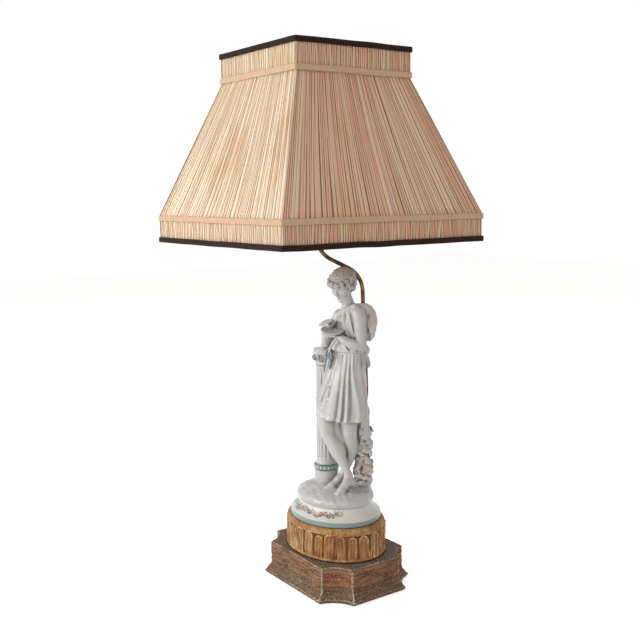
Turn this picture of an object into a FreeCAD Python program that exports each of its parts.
import FreeCAD, Part

import math
import os

import Sketcher

# Figural table lamp, millimetres, +Z up.  The origin is on the table, under the upright axis that the
# lampholder and the square shade turn about.  The long front of the base faces -Y, and the base's own
# middle stands a little behind and to the right of the axis, because the bent stem leans forward.

Vector = FreeCAD.Vector
Rotation = FreeCAD.Rotation
UP = Vector(0, 0, 1)

DIMENSIONS = {
    # place of the base's middle, seen from the lampholder's axis
    "BaseMiddleX": 15.0,
    "BaseMiddleY": 22.0,
    # wooden plinth: a rectangle with hollowed corners
    "FeltThick": 2.0,
    "FeltInset": 3.0,
    "FootHalfLong": 123.0,
    "FootHalfShort": 95.0,
    "FootClip": 41.0,
    "FootLip": 5.0,
    "LipStep": 2.0,
    "FlankBelly": 5.5,
    "FootThick": 22.0,
    "BlockInset": 10.0,
    "BlockThick": 33.0,
    "CornerHollow": 8.0,
    "ChamberHalfLong": 68.0,
    "NutRoom": 17.0,
    "CoverLedge": 9.0,
    "CoverThick": 4.0,
    "CoverFit": 0.3,
    # cover screws and the outlet bush for the flex
    "ScrewRadius": 1.6,
    "ScrewHead": 3.4,
    "ScrewLength": 15.0,
    "BushBore": 3.5,
    "BushRadius": 6.0,
    "BushFlange": 8.5,
    "FlangeThick": 2.5,
    "FlangeInset": 9.5,
    # carved oval drum and porcelain socle
    "DrumHalfLong": 98.0,
    "DrumHalfShort": 78.0,
    "DrumThick": 47.0,
    "DrumShoulder": 9.0,
    "SocleHalfLong": 86.0,
    "SocleHalfShort": 72.0,
    "SocleBand": 10.0,
    "SocleThick": 27.0,
    "MoundHalfLong": 74.0,
    "MoundHalfShort": 61.5,
    "FigureHeight": 397.0,
    # bent brass stem, placed from the base's middle
    "StemAcross": 23.0,
    "StemBehind": 41.0,
    "StemLeanAcross": 5.0,
    "StemLeanBack": 7.0,
    "StemRadius": 3.4,
    "StemBore": 2.4,
    "StemBendRadius": 45.0,
    "StemClearance": 1.0,
    "NutHalfFlats": 7.0,
    "NutThick": 5.0,
    "WasherRadius": 11.0,
    "WasherThick": 1.6,
    # lampholder and bulb, upward from the foot of the cap
    "HeadRoom": 59.0,
    "HolderRadius": 20.0,
    "HolderWall": 1.0,
    "CapRise": 22.0,
    "ShellRise": 34.0,
    "InsertThick": 8.0,
    "InsertBoss": 2.0,
    "SocketRadius": 14.4,
    "SocketWall": 0.8,
    "SocketRise": 24.0,
    "ContactRadius": 4.0,
    "ContactRise": 2.5,
    "RingRise": 16.0,
    "RingThick": 3.5,
    "ClampThick": 5.0,
    "RingFlange": 7.0,
    "KeyRadius": 2.0,
    "KeyFit": 0.08,
    "KeyRise": 5.0,
    "KeyDepth": 11.0,
    "KeyReach": 12.0,
    "BulbRadius": 30.0,
    "BulbNeck": 34.0,
    "BulbCapRise": 21.0,
    "BulbFit": 0.3,
    # square shade
    "ShadeDrop": 16.0,
    "FitterThick": 2.5,
    "FitterFit": 0.5,
    "ShadeHalfWidth": 192.0,
    "ShadeHalfTop": 111.0,
    "ShadeBand": 46.0,
    "ShadeSlope": 212.0,
    "ShadeCollar": 50.0,
    "CoverCloth": 2.0,
    "TrimThick": 2.2,
    "TrimWidth": 9.0,
    "RimFold": 2.0,
    "WireRadius": 1.5,
    "WireGap": 0.3,
    "ArmRadius": 1.2,
}

doc = FreeCAD.newDocument("FiguralTableLamp")
sheet = doc.addObject("Spreadsheet::Sheet", "Sizes")
for row, (alias, number) in enumerate(DIMENSIONS.items(), start=1):
    sheet.set("A%d" % row, alias)
    sheet.set("B%d" % row, str(number))
    sheet.setAlias("B%d" % row, alias)
doc.recompute()

nodes = {}


def size(expression):
    """The value of an expression over the sheet's cells, such as 'Sizes.FootLip + 2'."""
    answer = sheet.evalExpression(expression)
    return float(getattr(answer, "Value", answer))


# Places worked out from the sheet, as expressions.  First the stacked base, from the table up.
FOOT_BOTTOM = "Sizes.FeltThick"
FOOT_TOP = "(%s + Sizes.FootThick)" % FOOT_BOTTOM
BLOCK_TOP = "(%s + Sizes.BlockThick)" % FOOT_TOP
DRUM_TOP = "(%s + Sizes.DrumThick + Sizes.DrumShoulder)" % BLOCK_TOP
SOCLE_TOP = "(%s + Sizes.SocleThick)" % DRUM_TOP
FIGURE_TOP = "(%s + Sizes.FigureHeight)" % SOCLE_TOP
# lampholder
HOLDER_FOOT = "(%s + Sizes.HeadRoom)" % FIGURE_TOP
SHELL_FOOT = "(%s + Sizes.CapRise)" % HOLDER_FOOT
SOCKET_FOOT = "(%s + Sizes.InsertThick + Sizes.InsertBoss)" % SHELL_FOOT
RING_FOOT = "(%s + Sizes.RingRise)" % SHELL_FOOT
FITTER_FOOT = "(%s + Sizes.RingThick)" % RING_FOOT
CLAMP_FOOT = "(%s + Sizes.FitterThick)" % FITTER_FOOT
BULB_TIP = "(%s + Sizes.ContactRise)" % SOCKET_FOOT
KEY_HEIGHT = "(%s + Sizes.KeyRise)" % SHELL_FOOT
SHELL_INSIDE = "(Sizes.HolderRadius - Sizes.HolderWall)"
RING_RADIUS = "(Sizes.HolderRadius + Sizes.RingFlange)"
# shade
SHADE_BOTTOM = "(%s - Sizes.ShadeDrop)" % HOLDER_FOOT
HIP = "(%s + Sizes.ShadeBand)" % SHADE_BOTTOM
COLLAR = "(%s + Sizes.ShadeSlope)" % HIP
SHADE_TOP = "(%s + Sizes.ShadeCollar)" % COLLAR
# plan of the base
CHAMBER_HALF_SHORT = "(Sizes.StemBehind + Sizes.NutRoom)"
STEM_X = "(Sizes.BaseMiddleX + Sizes.StemAcross)"
STEM_Y = "(Sizes.BaseMiddleY + Sizes.StemBehind)"
BUSH_HEIGHT = "(%s + Sizes.FootThick * 0.55)" % FOOT_BOTTOM
BUSH_FACE = "(Sizes.BaseMiddleY + Sizes.FootHalfShort - Sizes.FlangeInset)"
MIDDLE_X = "Sizes.BaseMiddleX"
MIDDLE_Y = "Sizes.BaseMiddleY"

MIDDLE = Vector(size(MIDDLE_X), size(MIDDLE_Y), 0)


# ---------------------------------------------------------------- building helpers

def place(item, x="0", y="0", z="0"):
    """Ties an object's position to expressions over the sheet."""
    item.setExpression("Placement.Base.x", x)
    item.setExpression("Placement.Base.y", y)
    item.setExpression("Placement.Base.z", z)


def node(name, item):
    """Registers an object as a sub-part of its own."""
    item.Label = name
    nodes[name] = item
    return item


def plane_of(body, role):
    return [item for item in body.Origin.OriginFeatures if item.Role == role][0]


def new_sketch(body, role, offset="0"):
    sketch = body.newObject("Sketcher::SketchObject", body.Name + "Sketch")
    sketch.AttachmentSupport = (plane_of(body, role), [""])
    sketch.MapMode = "FlatFace"
    sketch.setExpression("AttachmentOffset.Base.z", offset)
    return sketch


def pin_point(sketch, edge, end, across, along):
    """Ties one end of a sketch edge to two expressions, measured from the sketch's origin."""
    for kind, expression, axis in (("DistanceX", across, -2), ("DistanceY", along, -1)):
        if abs(size(expression)) < 1e-9:
            sketch.addConstraint(Sketcher.Constraint("PointOnObject", edge, end, axis))
            continue
        index = sketch.addConstraint(Sketcher.Constraint(kind, -1, 1, edge, end, size(expression)))
        sketch.setExpression("Constraints[%d]" % index, expression)


def draw_polygon(sketch, corners):
    """Draws a closed outline through corners given as pairs of expressions."""
    points = [Vector(size(across), size(along), 0) for across, along in corners]
    count = len(points)
    for index in range(count):
        sketch.addGeometry(Part.LineSegment(points[index], points[(index + 1) % count]))
    for index in range(count):
        sketch.addConstraint(Sketcher.Constraint("Coincident", index, 2, (index + 1) % count, 1))
        pin_point(sketch, index, 1, *corners[index])


def draw_circle(sketch, radius):
    edge = sketch.addGeometry(Part.Circle(Vector(0, 0, 0), UP, size(radius)))
    sketch.addConstraint(Sketcher.Constraint("Coincident", edge, 3, -1, 1))
    index = sketch.addConstraint(Sketcher.Constraint("Radius", edge, size(radius)))
    sketch.setExpression("Constraints[%d]" % index, radius)


def hollowed_outline(half_long, half_short, clip):
    """Corners of the plinth's outline, counter-clockwise, two to each clipped corner."""
    a, b, c = half_long, half_short, clip
    return [
        ("(%s) - (%s)" % (a, c), "-(%s)" % b), (a, "(%s) - (%s)" % (c, b)),
        (a, "(%s) - (%s)" % (b, c)), ("(%s) - (%s)" % (a, c), b),
        ("(%s) - (%s)" % (c, a), b), ("-(%s)" % a, "(%s) - (%s)" % (b, c)),
        ("-(%s)" % a, "(%s) - (%s)" % (c, b)), ("(%s) - (%s)" % (c, a), "-(%s)" % b),
    ]


def draw_hollowed(sketch, half_long, half_short, clip):
    """Draws a rectangle whose clipped corners are hollowed by arcs."""
    corners = hollowed_outline(half_long, half_short, clip)
    points = [Vector(size(across), size(along), 0) for across, along in corners]
    hollow = size("Sizes.CornerHollow")
    radius = "((%s) * (%s) / 2 + Sizes.CornerHollow ^ 2) / (2 * Sizes.CornerHollow)" % (clip, clip)
    for index in range(8):
        start, end = points[index], points[(index + 1) % 8]
        if index % 2:
            sketch.addGeometry(Part.LineSegment(start, end))
            continue
        middle = (start + end) * 0.5
        inward = Vector(-middle.x / abs(middle.x), -middle.y / abs(middle.y), 0).normalize()
        sketch.addGeometry(Part.Arc(start, middle + inward * hollow, end))
    for index in range(8):
        # even edges are arcs bulging inward, which are stored end first
        start, end = (2, 1) if index % 2 == 0 else (1, 2)
        following = (index + 1) % 8
        next_start = 2 if following % 2 == 0 else 1
        sketch.addConstraint(Sketcher.Constraint("Coincident", index, end, following, next_start))
        pin_point(sketch, index, start, *corners[index])
    for index in range(0, 8, 2):
        number = sketch.addConstraint(Sketcher.Constraint("Radius", index, size(radius)))
        sketch.setExpression("Constraints[%d]" % number, radius)


def padded(body, sketch, length):
    pad = body.newObject("PartDesign::Pad", body.Name + "Pad")
    pad.Profile = sketch
    pad.setExpression("Length", length)
    return pad


def pocketed(body, sketch, depth):
    """Cuts a pocket upward from the sketch."""
    pocket = body.newObject("PartDesign::Pocket", body.Name + "Pocket")
    pocket.Profile = sketch
    pocket.setExpression("Length", depth)
    pocket.Reversed = True
    return pocket


def new_body(name, x="0", y="0", z="0"):
    body = doc.addObject("PartDesign::Body", name + "_body")
    place(body, x, y, z)
    return body


def turned(name, profile, x="0", y="0", z="0"):
    """A piece turned about its own Z axis from an outline of (radius, height) expressions."""
    body = new_body(name, x, y, z)
    sketch = new_sketch(body, "XZ_Plane")
    draw_polygon(sketch, profile)
    turn = body.newObject("PartDesign::Revolution", name + "_turn")
    turn.Profile = sketch
    turn.ReferenceAxis = (sketch, ["V_Axis"])
    turn.Angle = 360
    return body


def hexagonal(name, half_flats, thick, bore, x="0", y="0", z="0"):
    """A hexagon nut with a round bore."""
    body = new_body(name, x, y, z)
    sketch = new_sketch(body, "XY_Plane")
    corners = []
    for index in range(6):
        angle = 60 * index
        reach = "(%s) / cos(30)" % half_flats
        corners.append(("%s * cos(%d)" % (reach, angle), "%s * sin(%d)" % (reach, angle)))
    draw_polygon(sketch, corners)
    draw_circle(sketch, bore)
    padded(body, sketch, thick)
    return body


def oval(name, levels):
    """An upright oval block about the base's middle, from (half long, half short, height) expressions."""
    outlines = []
    for index, (half_long, half_short, height) in enumerate(levels):
        outline = doc.addObject("Part::Ellipse", "%s_outline%d" % (name, index))
        outline.setExpression("MajorRadius", half_long)
        outline.setExpression("MinorRadius", half_short)
        place(outline, MIDDLE_X, MIDDLE_Y, height)
        outlines.append(outline)
    block = doc.addObject("Part::Loft", name)
    block.Sections = outlines
    block.Solid = True
    block.Ruled = True
    return block


def fused(name, parts):
    whole = doc.addObject("Part::MultiFuse", name)
    whole.Shapes = parts
    return whole


def cut(name, base, tool):
    rest = doc.addObject("Part::Cut", name)
    rest.Base = base
    rest.Tool = tool
    return rest


def pin(name, radius, length, x, y, z):
    """A plain upright cylinder."""
    item = doc.addObject("Part::Cylinder", name)
    item.setExpression("Radius", radius)
    item.setExpression("Height", length)
    place(item, x, y, z)
    return item


def shaped(name, shape):
    """A sub-part whose form is worked out in code from the sheet's sizes."""
    item = doc.addObject("Part::Feature", name)
    item.Shape = shape
    item.Placement = shape.Placement
    return item


def rod(start, end, radius):
    """A round rod between two points."""
    return Part.makeCylinder(radius, (end - start).Length, start, end - start)


# ---------------------------------------------------------------- the stem's route

# The stem leans a little between two heights of the figure, then arches over to the lampholder.
JOG_LOW, JOG_HIGH = 122.0, 182.0
JOG_BEND_RADIUS = 120.0
ARCH_DROP, HOOK_DROP = 72.0, 34.0
ARCH_SHARE = 0.92
STEM_IN_CAP = 10.0


def stem_route():
    """Points of the stem from its nut under the plinth to the lampholder."""
    low = Vector(size(STEM_X), size(STEM_Y), 0)
    high = low + Vector(size("Sizes.StemLeanAcross"), size("Sizes.StemLeanBack"), 0)
    holder = size(HOLDER_FOOT)
    return [
        low + UP * (size(FOOT_TOP) - 2 * size("Sizes.NutThick") - size("Sizes.WasherThick")),
        low + UP * figure_height(JOG_LOW),
        high + UP * figure_height(JOG_HIGH),
        high * ARCH_SHARE + UP * (holder - ARCH_DROP),
        UP * (holder - HOOK_DROP),
        UP * (holder + STEM_IN_CAP),
    ]


def bent_path(points, radii):
    """Straight runs joined by arcs that touch them, one radius to each inner point."""
    edges = []
    start = points[0]
    for index in range(1, len(points) - 1):
        before = (points[index - 1] - points[index]).normalize()
        after = (points[index + 1] - points[index]).normalize()
        half_turn = (math.pi - before.getAngle(after)) / 2
        reach = radii[index - 1] * math.tan(half_turn)
        first = points[index] + before * reach
        last = points[index] + after * reach
        inward = (before + after).normalize()
        sagitta = radii[index - 1] * (1 / math.cos(half_turn) - 1)
        edges.append(Part.makeLine(start, first))
        edges.append(Part.Arc(first, points[index] + inward * sagitta, last).toShape())
        start = last
    edges.append(Part.makeLine(start, points[-1]))
    return Part.Wire(edges)


def tube_along(path, radius):
    """A solid round bar along a path that starts upward."""
    start = path.Vertexes[0].Point
    section = Part.Wire(Part.makeCircle(radius, start, UP))
    return path.makePipeShell([section], True, False)


def stem_solid(radius):
    bend = size("Sizes.StemBendRadius")
    path = bent_path(stem_route(), [JOG_BEND_RADIUS, JOG_BEND_RADIUS, bend, bend])
    return tube_along(path, radius)


# ---------------------------------------------------------------- plinth

def make_felt():
    body = new_body("felt_pad", MIDDLE_X, MIDDLE_Y)
    sketch = new_sketch(body, "XY_Plane")
    draw_hollowed(sketch, "Sizes.FootHalfLong - Sizes.FeltInset", "Sizes.FootHalfShort - Sizes.FeltInset",
                  "Sizes.FootClip")
    padded(body, sketch, "Sizes.FeltThick")
    node("felt_pad", body)


def make_foot(screws):
    """The flared foot: a lip, a sloping flank, the wiring chamber and the ledge for its cover."""
    body = new_body("plinth_foot", MIDDLE_X, MIDDLE_Y, FOOT_BOTTOM)
    lip = new_sketch(body, "XY_Plane")
    draw_hollowed(lip, "Sizes.FootHalfLong", "Sizes.FootHalfShort", "Sizes.FootClip")
    padded(body, lip, "Sizes.FootLip")
    doc.recompute()
    flank_sections = []
    for rise, inset in (("Sizes.FootLip", "Sizes.LipStep"),
                        ("(Sizes.FootLip + Sizes.FootThick) / 2", "(Sizes.LipStep + Sizes.FlankBelly)"),
                        ("Sizes.FootThick", "Sizes.BlockInset")):
        section = new_sketch(body, "XY_Plane", rise)
        draw_hollowed(section, "Sizes.FootHalfLong - %s" % inset, "Sizes.FootHalfShort - %s" % inset,
                      "Sizes.FootClip - 0.5 * %s" % inset)
        flank_sections.append(section)
    flank = body.newObject("PartDesign::AdditiveLoft", "foot_flank")
    flank.Profile = flank_sections[0]
    flank.Sections = flank_sections[1:]
    flank.Ruled = True
    doc.recompute()
    rebate = new_sketch(body, "XY_Plane")
    draw_polygon(rebate, box_corners("Sizes.ChamberHalfLong + Sizes.CoverLedge",
                                     CHAMBER_HALF_SHORT + " + Sizes.CoverLedge"))
    pocketed(body, rebate, "Sizes.CoverThick")
    chamber = new_sketch(body, "XY_Plane")
    draw_polygon(chamber, box_corners("Sizes.ChamberHalfLong", CHAMBER_HALF_SHORT))
    pocketed(body, chamber, "Sizes.FootThick")
    drilled = cut("plinth_foot_drilled", body, screws)
    hole = back_drill("bush_hole", "Sizes.BushRadius", MIDDLE_Y + " + " + CHAMBER_HALF_SHORT + " - 2")
    seat = back_drill("flange_seat", "Sizes.BushFlange + 0.5", BUSH_FACE + " - Sizes.FlangeThick")
    node("plinth_foot", cut("plinth_foot", drilled, fused("bush_cuts", [hole, seat])))


def back_drill(name, radius, start):
    """A drill that runs out through the back of the foot from a given depth."""
    drill = pin(name, radius, "60", MIDDLE_X, start, BUSH_HEIGHT)
    drill.Placement.Rotation = Rotation(Vector(1, 0, 0), -90)
    return drill


def box_corners(half_long, half_short):
    return [("-(%s)" % half_long, "-(%s)" % half_short), (half_long, "-(%s)" % half_short),
            (half_long, half_short), ("-(%s)" % half_long, half_short)]


def make_bush():
    """Brass outlet bush for the flex, in the back of the foot."""
    bore, radius, flange, thick = ("Sizes.BushBore", "Sizes.BushRadius", "Sizes.BushFlange",
                                   "Sizes.FlangeThick")
    length = "Sizes.FootHalfShort - Sizes.FlangeInset - %s - 1" % CHAMBER_HALF_SHORT
    body = turned("flex_bush", [(bore, "0"), (flange, "0"), (flange, thick), (radius, thick),
                                (radius, length), (bore, length)], MIDDLE_X, BUSH_FACE, BUSH_HEIGHT)
    body.Placement.Rotation = Rotation(Vector(1, 0, 0), 90)
    node("flex_bush", body)


def make_screws():
    """Four countersunk screws that hold the chamber's cover."""
    shank, length = "Sizes.ScrewRadius", "Sizes.ScrewLength"
    screw = turned("cover_screw", [("0", "0"), ("Sizes.ScrewHead", "0"), (shank, "2"),
                                   (shank, length + " - 2"), ("0", length)])
    doc.recompute()
    across = size("Sizes.ChamberHalfLong + Sizes.CoverLedge / 2")
    along = size(CHAMBER_HALF_SHORT + " + Sizes.CoverLedge / 2")
    copies = []
    for right in (-1, 1):
        for back in (-1, 1):
            copy = screw.Shape.copy()
            copy.translate(MIDDLE + Vector(right * across, back * along, size(FOOT_BOTTOM)))
            copies.append(copy)
    return node("cover_screws", shaped("cover_screws", Part.makeCompound(copies)))


def make_cover(screws):
    body = new_body("chamber_cover", MIDDLE_X, MIDDLE_Y, FOOT_BOTTOM)
    sketch = new_sketch(body, "XY_Plane")
    draw_polygon(sketch, box_corners("Sizes.ChamberHalfLong + Sizes.CoverLedge - Sizes.CoverFit",
                                     CHAMBER_HALF_SHORT + " + Sizes.CoverLedge - Sizes.CoverFit"))
    padded(body, sketch, "Sizes.CoverThick")
    node("chamber_cover", cut("chamber_cover", body, screws))


def make_block():
    body = new_body("plinth_block", MIDDLE_X, MIDDLE_Y, FOOT_TOP)
    sketch = new_sketch(body, "XY_Plane")
    draw_hollowed(sketch, "Sizes.FootHalfLong - Sizes.BlockInset", "Sizes.FootHalfShort - Sizes.BlockInset",
                  "Sizes.FootClip - 0.5 * Sizes.BlockInset")
    padded(body, sketch, "Sizes.BlockThick")
    node("plinth_block", cut("plinth_block", body, stem_drill("block_drill", FOOT_TOP, BLOCK_TOP)))


def stem_drill(name, low, high):
    """An upright drill for the stem between two heights."""
    return pin(name, "Sizes.StemRadius", "%s - %s + 2" % (high, low), STEM_X, STEM_Y, "%s - 1" % low)


def make_drum():
    """Carved oval drum: an upright wall with a sloping shoulder under the porcelain."""
    long, short = "Sizes.DrumHalfLong", "Sizes.DrumHalfShort"
    whole = oval("drum_whole", [
        (long, short, BLOCK_TOP), (long, short, BLOCK_TOP + " + Sizes.DrumThick"),
        (long + " - Sizes.DrumShoulder", short + " - Sizes.DrumShoulder", DRUM_TOP)])
    node("carved_drum", cut("carved_drum", whole, stem_drill("drum_drill", BLOCK_TOP, DRUM_TOP)))


def make_socle():
    """Porcelain stand: an upright band below and a cove that draws in under the mound."""
    long, short = "Sizes.SocleHalfLong", "Sizes.SocleHalfShort"
    band_top = DRUM_TOP + " + Sizes.SocleBand"
    whole = oval("socle_whole", [
        (long, short, DRUM_TOP), (long, short, band_top),
        (long + " - 8", short + " - 7", band_top + " + 7"),
        ("Sizes.MoundHalfLong - 4", "Sizes.MoundHalfShort - 4", SOCLE_TOP)])
    node("porcelain_socle", cut("porcelain_socle", whole, stem_drill("socle_drill", DRUM_TOP, SOCLE_TOP)))


# ---------------------------------------------------------------- porcelain figure

def limb(stations):
    """A rounded limb through circles given as (centre, radius), each square to the limb's run."""
    wires = []
    last = len(stations) - 1
    for index, (centre, radius) in enumerate(stations):
        run = stations[min(index + 1, last)][0] - stations[max(index - 1, 0)][0]
        wires.append(Part.Wire(Part.makeCircle(radius, centre, run)))
    return Part.makeLoft(wires, True, False)


def egg(centre, radius, half_height):
    """A round body, taller or flatter than a ball, lofted through level circles."""
    stations = []
    for step in range(-3, 4):
        angle = math.radians(26.0 * step)
        stations.append((centre + UP * (half_height * math.sin(angle)), radius * math.cos(angle)))
    return limb(stations)


def oval_wire(centre, across, deep):
    major, minor = max(across, deep), min(across, deep)
    direction = Vector(1, 0, 0) if across >= deep else Vector(0, 1, 0)
    curve = Part.Ellipse(centre + direction * major, centre + UP.cross(direction) * minor, centre)
    return Part.Wire(curve.toShape())


def oval_loft(levels):
    """A closed body through horizontal ovals given as (centre, half across, half deep)."""
    return Part.makeLoft([oval_wire(*level) for level in levels], True, False)


def figure_height(z):
    """Height of a feature of the figure, which is drawn 397 tall and stretched to its real height."""
    return size(SOCLE_TOP) + z * size("Sizes.FigureHeight") / 397.0


def figure_point(x, y, z):
    """A point of the figure; x and y are from the base's middle, z is above the socle."""
    return MIDDLE + Vector(x, y, figure_height(z))


# Place of the column's axis, from the base's middle
COLUMN = (-28, -2)


def mound():
    long, short = size("Sizes.MoundHalfLong"), size("Sizes.MoundHalfShort")
    lip = [(figure_point(0, 0, 0), long - 4, short - 4), (figure_point(0, 0, 3), long, short),
           (figure_point(0, 0, 9), long, short), (figure_point(0, 0, 15), long - 7, short - 7),
           (figure_point(0, 0, 21), long - 26, short - 24)]
    return Part.makeLoft([oval_wire(*level) for level in lip], True, True)


def column():
    """Fluted column: pedestal, torus band, shaft, neck ring, flaring bell and capital."""
    pieces = []
    for low, high, radius in ((12, 46, 21.5), (46, 56, 22.6), (56, 232, 16.2), (232, 238, 17.6),
                              (250, 258, 20.0)):
        pieces.append(rod(figure_point(*COLUMN, low), figure_point(*COLUMN, high), radius))
    pieces.append(Part.makeCone(16.8, 19.2, 12, figure_point(*COLUMN, 238)))
    return pieces


def figure_limb(*stations):
    """A limb through stations given as (x, y, z, radius) in the figure's own measure."""
    return limb([(figure_point(x, y, z), radius) for x, y, z, radius in stations])


def trunk():
    """Flowering tree stump behind the legs, and the gathered cloth that carries on up from it."""
    pieces = [figure_limb((22, 43, 12, 15), (21, 43, 40, 13.5), (22, 43, 90, 12), (23, 42, 134, 11.5),
                          (25, 44, 160, 12.5), (28, 47, 178, 9))]
    for x, y, z, radius in ((32, 47, 34, 9), (33, 42, 66, 8), (29, 51, 92, 9), (33, 47, 112, 8)):
        pieces.append(egg(figure_point(x, y, z), radius, radius))
    return pieces


def legs():
    """Crossed legs: the standing left leg, and the right one that passes in front of it."""
    right = figure_limb((-16, -8, 148, 15.5), (-15, -9, 118, 13.5), (-9, -9, 92, 12.5), (14, -8, 62, 9.5),
                        (32, -4, 38, 6.8), (37, -2, 22, 7.5))
    left = figure_limb((18, 14, 148, 15), (19, 14, 118, 13.5), (19, 13, 92, 12.5), (15, 12, 62, 9.5),
                       (10, 12, 38, 7), (9, 13, 22, 7.5))
    right_foot = figure_limb((38, 6, 21, 6.5), (37, -6, 23, 8.5), (35, -20, 20, 7.5), (33, -34, 17, 6),
                             (32, -38, 16, 3))
    left_foot = figure_limb((10, 20, 21, 6.5), (9, 10, 23, 8.5), (6, -6, 20, 7.5), (2, -20, 17, 6),
                            (1, -24, 16, 3))
    return [right, left, right_foot, left_foot]


def body_and_dress():
    skirt = oval_loft([(figure_point(4, 8, 136), 49, 33), (figure_point(7, 12, 190), 43, 29),
                       (figure_point(12, 17, 252), 33, 21)])
    chest = oval_loft([(figure_point(12, 17, 246), 32, 20.5), (figure_point(12, 15, 292), 37, 23),
                       (figure_point(12, 16, 318), 37, 20), (figure_point(13, 17, 334), 20, 13)])
    cape = egg(figure_point(45, 34, 302), 14.5, 33)
    bow = egg(figure_point(-13, -3, 240), 7, 12)
    return [skirt, chest, cape, bow]


def arms_and_dish():
    left_upper = figure_limb((43, 17, 330, 7), (44, 17, 318, 11.5), (46, 17, 292, 10), (48, 18, 268, 8.8),
                             (48, 17, 258, 5))
    left_lower = figure_limb((51, 22, 264, 6), (46, 16, 268, 8.8), (33, 4, 275, 8.2), (20, -9, 283, 5.5))
    right_upper = figure_limb((-16, 16, 330, 7), (-18, 15, 318, 11), (-21, 6, 292, 9.5), (-24, -2, 266, 8.5),
                              (-24, -3, 258, 5))
    right_lower = figure_limb((-27, 1, 262, 6), (-22, -4, 270, 8.5), (-11, -13, 290, 7), (2, -21, 306, 5))
    dish = Part.makeCone(11, 20, 9, figure_point(13, -16, 286))
    return [left_upper, left_lower, right_upper, right_lower, dish, egg(figure_point(6, -20, 306), 8, 6)]


def head():
    neck = figure_limb((15, 18, 322, 12), (13, 13, 338, 10.5), (11, 7, 356, 10))
    return [neck, egg(figure_point(10, 4, 368), 25, 29)]


def stem_bore():
    """The way bored for the stem up through the mound, the stump and the cloth behind the figure."""
    radius = size("Sizes.StemRadius + Sizes.StemClearance")
    route = stem_route()[:4]
    bores = []
    for start, end in zip(route, route[1:]):
        run = (end - start).normalize()
        bores.append(rod(start - run, end + run, radius))
    return bores


def make_figure():
    pieces = column() + trunk() + legs() + body_and_dress() + arms_and_dish() + head()
    whole = mound().fuse(pieces).cut(stem_bore())
    node("porcelain_figure", shaped("porcelain_figure", keep_largest(whole)))


# ---------------------------------------------------------------- stem and lampholder

def washer_profile(inner, outer, thick):
    return [(inner, "0"), (outer, "0"), (outer, thick), (inner, thick)]


def make_stem():
    outer = stem_solid(size("Sizes.StemRadius"))
    inner = stem_solid(size("Sizes.StemBore"))
    node("bent_stem", shaped("bent_stem", outer.cut(inner)))
    profile = washer_profile("Sizes.StemRadius", "Sizes.WasherRadius", "Sizes.WasherThick")
    washer_foot = FOOT_TOP + " - Sizes.WasherThick"
    node("stem_washer", turned("stem_washer", profile, STEM_X, STEM_Y, washer_foot))
    node("stem_nut", hexagonal("stem_nut", "Sizes.NutHalfFlats", "Sizes.NutThick", "Sizes.StemRadius",
                               STEM_X, STEM_Y, washer_foot + " - Sizes.NutThick"))
    node("stem_locknut", hexagonal("stem_locknut", "Sizes.NutHalfFlats", "Sizes.NutThick",
                                   "Sizes.StemRadius", z=HOLDER_FOOT + " - Sizes.NutThick"))


def make_cap():
    """Cup that screws onto the stem and carries the shell."""
    radius, inside, rise = "Sizes.HolderRadius", SHELL_INSIDE, "Sizes.CapRise"
    node("holder_cap", turned("holder_cap", [
        ("Sizes.StemRadius", "0"), (radius + " * 0.45", "0"), (radius + " * 0.9", rise + " * 0.45"),
        (radius, rise + " * 0.64"), (radius, rise), (inside, rise), (inside, rise + " * 0.66"),
        (radius + " * 0.8", rise + " * 0.52"), (radius + " * 0.4", rise + " * 0.23"),
        ("Sizes.StemRadius", rise + " * 0.23")], z=HOLDER_FOOT))


def make_shell_and_insert():
    """Outer shell and ceramic insert, cross drilled for the switch key's spindle."""
    tube = turned("shell_tube", washer_profile(SHELL_INSIDE, "Sizes.HolderRadius", "Sizes.ShellRise"),
                  z=SHELL_FOOT)
    thick, boss = "Sizes.InsertThick", "Sizes.InsertThick + Sizes.InsertBoss"
    blank = turned("insert_blank", [
        ("0", "0"), (SHELL_INSIDE, "0"), (SHELL_INSIDE, thick), ("Sizes.SocketRadius", thick),
        ("Sizes.SocketRadius", boss), ("0", boss)], z=SHELL_FOOT)
    hole = pin("key_hole", "Sizes.KeyRadius + Sizes.KeyFit", "Sizes.HolderRadius + 10",
               "1 - Sizes.HolderRadius + Sizes.KeyDepth", "0", KEY_HEIGHT)
    hole.Placement.Rotation = Rotation(Vector(0, 1, 0), -90)
    node("holder_shell", cut("holder_shell", tube, hole))
    node("holder_insert", cut("holder_insert", blank, hole))


def make_socket():
    """Screw shell and centre contact that the bulb sits in."""
    radius, wall = "Sizes.SocketRadius", "Sizes.SocketWall"
    profile = washer_profile("%s - %s" % (radius, wall), radius, "Sizes.SocketRise")
    node("socket_shell", turned("socket_shell", profile, z=SOCKET_FOOT))
    contact, rise = "Sizes.ContactRadius", "Sizes.ContactRise"
    node("centre_contact", turned("centre_contact", [
        ("0", "0"), (contact, "0"), (contact, rise + " * 0.4"), (contact + " * 0.5", rise), ("0", rise)],
        z=SOCKET_FOOT))


def make_terminals():
    """Two terminal screws hanging from the insert, inside the cap."""
    head, shank, length = "3", "1.5", "6"
    screw = turned("terminal_screw", [("0", "0"), (head, "0"), (head, "2"), (shank, "2"),
                                      (shank, length), ("0", length)])
    doc.recompute()
    copies = []
    for side in (-1, 1):
        copy = screw.Shape.copy()
        reach = side * size(SHELL_INSIDE) / 2
        copy.translate(Vector(0, reach, size(SHELL_FOOT) - size(length)))
        copies.append(copy)
    node("terminal_screws", shaped("terminal_screws", Part.makeCompound(copies)))


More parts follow.
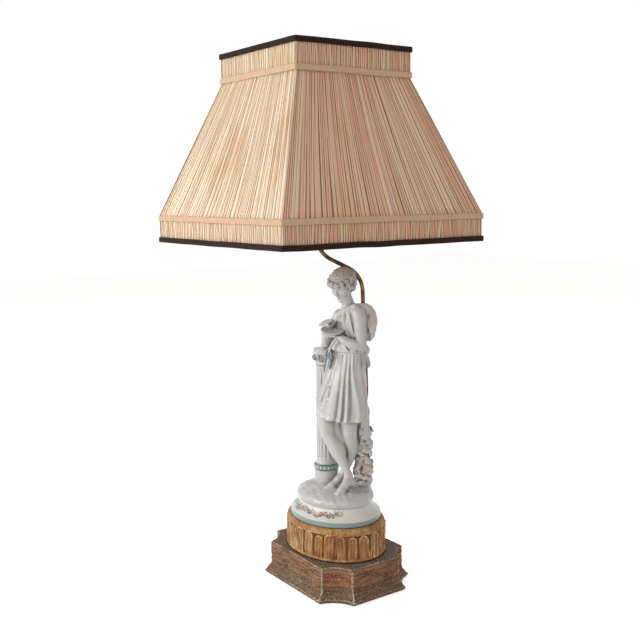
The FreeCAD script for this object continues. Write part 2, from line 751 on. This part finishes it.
def make_shade_rings():
    """Fixed ring on the shell, and the loose ring that clamps the shade's fitter down on it."""
    node("lower_ring", turned("lower_ring", washer_profile(
        "Sizes.HolderRadius", RING_RADIUS, "Sizes.RingThick"), z=RING_FOOT))
    node("clamp_ring", turned("clamp_ring", washer_profile(
        "Sizes.HolderRadius + Sizes.WireGap", RING_RADIUS, "Sizes.ClampThick"), z=CLAMP_FOOT))


def make_key():
    """Turn key of the switch: a round spindle with a flat oval grip outside the shell."""
    radius, reach = size("Sizes.HolderRadius"), size("Sizes.KeyReach")
    grip_long, grip_wide, grip_thick = 12.0, 9.0, 2.4
    inner_end = radius - size("Sizes.KeyDepth")
    spindle = Part.makeCylinder(size("Sizes.KeyRadius"), radius + reach - inner_end,
                                Vector(-inner_end, 0, 0), Vector(-1, 0, 0))
    grip = Part.makeCylinder(grip_long / 2, grip_thick, UP * (-grip_thick / 2))
    grip = grip.common(Part.makeBox(grip_long, grip_wide, grip_thick,
                                    Vector(-grip_long / 2, -grip_wide / 2, -grip_thick / 2)))
    grip.translate(Vector(-radius - reach - grip_long * 0.3, 0, 0))
    whole = spindle.fuse(grip)
    whole.translate(UP * size(KEY_HEIGHT))
    node("switch_key", shaped("switch_key", whole))


def make_bulb():
    """Bulb, from its tip up: contact, black glass insulator, screw cap and round glass."""
    tip = size(BULB_TIP)
    cap_radius = size("Sizes.SocketRadius - Sizes.SocketWall - Sizes.BulbFit")
    radius, neck_rise, cap_rise = size("Sizes.BulbRadius"), size("Sizes.BulbNeck"), size("Sizes.BulbCapRise")
    contact_rise, insulator_rise = 2.0, 3.0
    cap_foot = tip + contact_rise + insulator_rise
    contact = Part.makeCylinder(size("Sizes.ContactRadius"), contact_rise, UP * tip)
    node("bulb_contact", shaped("bulb_contact", contact))
    insulator = Part.makeCone(cap_radius * 0.45, cap_radius * 0.72, insulator_rise, UP * (tip + contact_rise))
    node("bulb_insulator", shaped("bulb_insulator", insulator))
    cap = Part.makeCylinder(cap_radius, cap_rise, UP * cap_foot)
    node("bulb_cap", shaped("bulb_cap", cap))
    neck_foot = cap_foot + cap_rise
    neck = Part.makeCone(cap_radius, radius * 0.88, neck_rise, UP * neck_foot)
    globe = Part.makeSphere(radius, UP * (neck_foot + neck_rise + radius * 0.45))
    node("bulb_glass", shaped("bulb_glass", neck.fuse(globe).removeSplitter()))


# ---------------------------------------------------------------- shade

def square_block(half_low, low, half_high, high):
    """A square block between two heights, straight or drawn in."""
    wires = []
    for half, height in ((half_low, low), (half_high, high)):
        corners = [Vector(-half, -half, height), Vector(half, -half, height), Vector(half, half, height),
                   Vector(-half, half, height)]
        wires.append(Part.makePolygon(corners + corners[:1]))
    return Part.makeLoft(wires, True, True)


def side_panel(half_low, low, half_high, high, thick):
    """The front wall of a square tube, mitred at its corners."""
    outer = [Vector(-half_low, -half_low, low), Vector(half_low, -half_low, low),
             Vector(half_high, -half_high, high), Vector(-half_high, -half_high, high)]
    inner = []
    for corner in outer:
        inner.append(Vector(corner.x - math.copysign(thick, corner.x), corner.y + thick, corner.z))
    faces = [outer, inner[::-1]]
    for index in range(4):
        following = (index + 1) % 4
        faces.append([outer[index], inner[index], inner[following], outer[following]])
    planes = [Part.Face(Part.makePolygon(face + face[:1])) for face in faces]
    return Part.Solid(Part.makeShell(planes))


def four_sides(panel):
    """A wall repeated on the shade's four sides."""
    walls = []
    for quarter in range(4):
        wall = panel.copy()
        wall.rotate(Vector(0, 0, 0), UP, 90 * quarter)
        walls.append(wall)
    return walls


def make_covers():
    """Pleated cloth: a lower band, four sloping sides and an upright collar."""
    cloth, fold = size("Sizes.CoverCloth"), size("Sizes.RimFold")
    wide, narrow = size("Sizes.ShadeHalfWidth"), size("Sizes.ShadeHalfTop")
    hip, collar = size(HIP), size(COLLAR)
    low, high = size(SHADE_BOTTOM) + fold, size(SHADE_TOP) - fold
    band = Part.makeCompound(four_sides(side_panel(wide, low, wide, hip, cloth)))
    node("cover_band", shaped("cover_band", band))
    slopes = four_sides(side_panel(wide, hip, narrow, collar, cloth))
    for side, slope in zip(("front", "right", "back", "left"), slopes):
        node("cover_slope_" + side, shaped("cover_slope_" + side, slope))
    upright = Part.makeCompound(four_sides(side_panel(narrow, collar, narrow, high, cloth)))
    node("cover_collar", shaped("cover_collar", upright))


def braid(half, low):
    """A flat braid round the outside of the cover."""
    thick, high = size("Sizes.TrimThick"), low + size("Sizes.TrimWidth")
    return square_block(half + thick, low, half + thick, high).cut(square_block(half, low - 1, half, high + 1))


def rim_ribbon(half, rim, inward):
    """A ribbon that folds over the cover's raw edge; inward is +1 at the lower rim, -1 at the top."""
    thick, width, fold = size("Sizes.TrimThick"), size("Sizes.TrimWidth"), size("Sizes.RimFold")
    throat = half - 2 * size("Sizes.CoverCloth") - 1
    far = rim + inward * width
    ribbon = square_block(half + thick, min(rim, far), half + thick, max(rim, far))
    edge, past = rim + inward * fold, far + inward
    ribbon = ribbon.cut(square_block(half, min(edge, past), half, max(edge, past)))
    return ribbon.cut(square_block(throat, min(rim, far) - 1, throat, max(rim, far) + 1))


def make_trims():
    wide, narrow = size("Sizes.ShadeHalfWidth"), size("Sizes.ShadeHalfTop")
    node("rim_ribbon_bottom", shaped("rim_ribbon_bottom", rim_ribbon(wide, size(SHADE_BOTTOM), 1)))
    node("rim_ribbon_top", shaped("rim_ribbon_top", rim_ribbon(narrow, size(SHADE_TOP), -1)))
    node("braid_hip", shaped("braid_hip", braid(wide, size(HIP) - size("Sizes.TrimWidth") - 1)))
    node("braid_collar", shaped("braid_collar", braid(narrow, size(COLLAR) + 1)))


def wire_square(half, height):
    """A square wire hoop with ball corners."""
    radius = size("Sizes.WireRadius")
    corners = [Vector(-half, -half, height), Vector(half, -half, height), Vector(half, half, height),
               Vector(-half, half, height)]
    pieces = [Part.makeSphere(radius, corner) for corner in corners[1:]]
    for start, end in zip(corners, corners[1:] + corners[:1]):
        pieces.append(rod(start, end, radius))
    return Part.makeSphere(radius, corners[0]).fuse(pieces).removeSplitter()


def make_frame():
    """Soldered wire frame: four hoops, and twelve struts that run parallel to the cover's corners."""
    radius, gap = size("Sizes.WireRadius"), size("Sizes.WireGap")
    inset = size("Sizes.CoverCloth") + gap + radius
    wide, narrow = size("Sizes.ShadeHalfWidth") - inset, size("Sizes.ShadeHalfTop") - inset
    rim = size("Sizes.RimFold") + gap + radius + 0.2
    below_hip, above_collar = radius + 1.0, radius + 1.5
    draw_in = (wide - narrow) / size("Sizes.ShadeSlope")
    levels = [("hoop_bottom", wide, size(SHADE_BOTTOM) + rim), ("hoop_hip", wide, size(HIP) - below_hip),
              ("hoop_collar", narrow - draw_in * (below_hip + above_collar), size(COLLAR) + above_collar),
              ("hoop_top", narrow, size(SHADE_TOP) - rim)]
    hoops = {}
    for name, half, height in levels:
        hoops[name] = wire_square(half, height)
        node(name, shaped(name, hoops[name]))
    struts = []
    for (_, half_low, low), (_, half_high, high) in zip(levels, levels[1:]):
        strut = rod(Vector(-half_low, -half_low, low), Vector(-half_high, -half_high, high), radius)
        struts += four_sides(strut.cut(list(hoops.values())))
    node("frame_struts", shaped("frame_struts", Part.makeCompound(struts)))
    make_fitter(hoops["hoop_hip"], wide, levels[1][2])


def make_fitter(hip_hoop, reach, hip_height):
    """Fitter ring that sits on the lampholder, and the four arms that carry the frame from it."""
    foot, thick, rim = size(FITTER_FOOT), size("Sizes.FitterThick"), size(RING_RADIUS)
    hole = Part.makeCylinder(size("Sizes.HolderRadius + Sizes.FitterFit"), thick + 2, UP * (foot - 1))
    ring = Part.makeCylinder(rim, thick, UP * foot).cut(hole)
    node("fitter_ring", shaped("fitter_ring", ring))
    arm = rod(Vector(0, 1 - rim, foot + thick / 2), Vector(0, -reach, hip_height), size("Sizes.ArmRadius"))
    arms = [keep_largest(item) for item in four_sides(arm.cut([ring, hip_hoop]))]
    node("fitter_arms", shaped("fitter_arms", Part.makeCompound(arms)))


def keep_largest(shape):
    return max(shape.Solids, key=lambda solid: solid.Volume)


# ---------------------------------------------------------------- the whole lamp

make_felt()
cover_screws = make_screws()
make_foot(cover_screws)
make_cover(cover_screws)
make_bush()
make_block()
make_drum()
make_socle()
make_figure()
make_stem()
make_cap()
make_shell_and_insert()
make_socket()
make_terminals()
make_shade_rings()
make_key()
make_bulb()
make_covers()
make_trims()
make_frame()
doc.recompute()

for item in doc.Objects:
    if "Invalid" in item.State or "Error" in item.State:
        raise RuntimeError("%s did not recompute: %s" % (item.Label, item.State))
os.makedirs("parts", exist_ok=True)
for name, item in nodes.items():
    if item.Shape.isNull() or not item.Shape.isValid():
        raise RuntimeError("%s has no valid shape" % name)
    item.Shape.exportStep("parts/%s.step" % name)
    box = item.Shape.BoundBox
    print("%-20s solids %2d  volume %10.0f  x %7.1f %7.1f  y %7.1f %7.1f  z %7.1f %7.1f" % (
        name, len(item.Shape.Solids), item.Shape.Volume, box.XMin, box.XMax, box.YMin, box.YMax,
        box.ZMin, box.ZMax))
